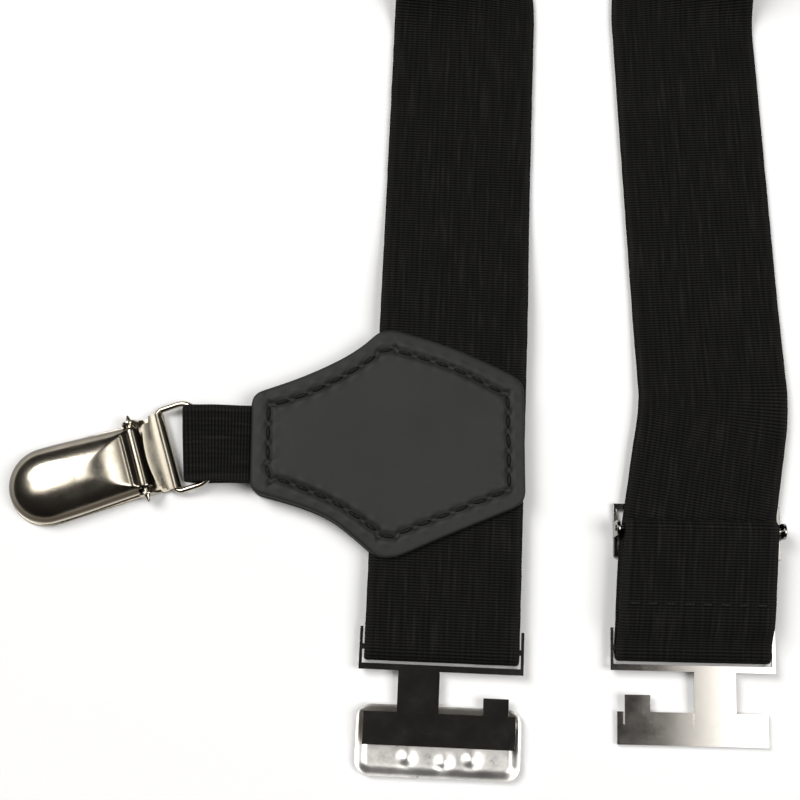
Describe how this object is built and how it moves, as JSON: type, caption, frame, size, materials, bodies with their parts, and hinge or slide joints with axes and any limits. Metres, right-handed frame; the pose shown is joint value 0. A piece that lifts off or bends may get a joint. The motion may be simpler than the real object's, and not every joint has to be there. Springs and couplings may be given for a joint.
{
  "type": "sock garter",
  "caption": "Sock garter: elastic calf band with a two-part hook clasp, a slide adjuster and a leather patch that carries a hinged spring clip on a wire ring.",
  "frame": {"origin": "middle of the leather patch, on its underside", "axes": "+Y up the band away from the clasp halves, +Z out of the band's skin side, +X from the clip towards the adjuster leg"},
  "size_m": [0.1304, 0.1803, 0.025],
  "materials": {
    "webbing": "matte ribbed elastic",
    "leather": "smooth, softly glossy",
    "thread": "twisted sewing thread",
    "nickel": "bright nickel plate",
    "satin_nickel": "warm nickel plate, slightly satin",
    "grip": "ribbed soft grip"
  },
  "bodies": {
    "band": {"elastic_band": "webbing", "left_end_fold": "webbing", "patch_back": "leather", "patch_front": "leather", "patch_stitches": "thread", "clip_strap": "webbing"},
    "left_clasp": {"left_hook": "nickel", "clasp_cover_plate": "nickel"},
    "adjuster_loop": {"adjuster_fold": "webbing"},
    "slider": {"slider_frame": "nickel", "slider_bar": "nickel", "adjuster_hem": "webbing", "hem_stitches": "thread"},
    "right_clasp": {"right_hook": "nickel"},
    "ring": {"clip_ring": "satin_nickel"},
    "clip_body": {"clip_base": "satin_nickel", "clip_pin": "satin_nickel", "lower_grip_pad": "grip"},
    "clip_jaw": {"clip_tongue": "satin_nickel", "upper_grip_pad": "grip"},
    "clip_cover": {"clip_cover": "satin_nickel"}
  },
  "joints": [
    {"name": "left_clasp_swing", "type": "hinge", "parent": "band", "child": "left_clasp", "pos_m": [0.00873, -0.03357, 0.00175], "axis": [0.999, -0.0436, 0], "range_deg": [-75, 75]},
    {"name": "loop_slide", "type": "slide", "parent": "band", "child": "adjuster_loop", "axis": [0.1771, 0.9842, 0], "range_m": [0, 0.006]},
    {"name": "slider_slide", "type": "slide", "parent": "adjuster_loop", "child": "slider", "axis": [0.1771, 0.9842, 0], "range_m": [0, 0.006]},
    {"name": "right_clasp_swing", "type": "hinge", "parent": "adjuster_loop", "child": "right_clasp", "pos_m": [0.04929, -0.03351, 0.00175], "axis": [0.9997, -0.0227, 0], "range_deg": [-75, 75]},
    {"name": "ring_swing", "type": "hinge", "parent": "band", "child": "ring", "pos_m": [-0.03064, 0.00082, 0.0023], "axis": [-0.2823, 0.9593, 0], "range_deg": [-45, 45]},
    {"name": "clip_swing", "type": "hinge", "parent": "ring", "child": "clip_body", "pos_m": [-0.03725, -0.00113, 0.00105], "axis": [-0.2823, 0.9593, 0], "range_deg": [-45, 45]},
    {"name": "cover_opening", "type": "hinge", "parent": "clip_body", "child": "clip_cover", "pos_m": [-0.04152, -0.00238, 0.0023], "axis": [-0.2823, 0.9593, 0], "range_deg": [0, 85]},
    {"name": "jaw_opening", "type": "hinge", "parent": "clip_body", "child": "clip_jaw", "pos_m": [-0.04152, -0.00238, 0.0023], "axis": [-0.2823, 0.9593, 0], "range_deg": [0, 8.5]}
  ],
  "couplings": [
    {"joint": "slider_slide", "follows": "loop_slide", "ratio": 1},
    {"joint": "jaw_opening", "follows": "cover_opening", "ratio": 0.1}
  ]
}
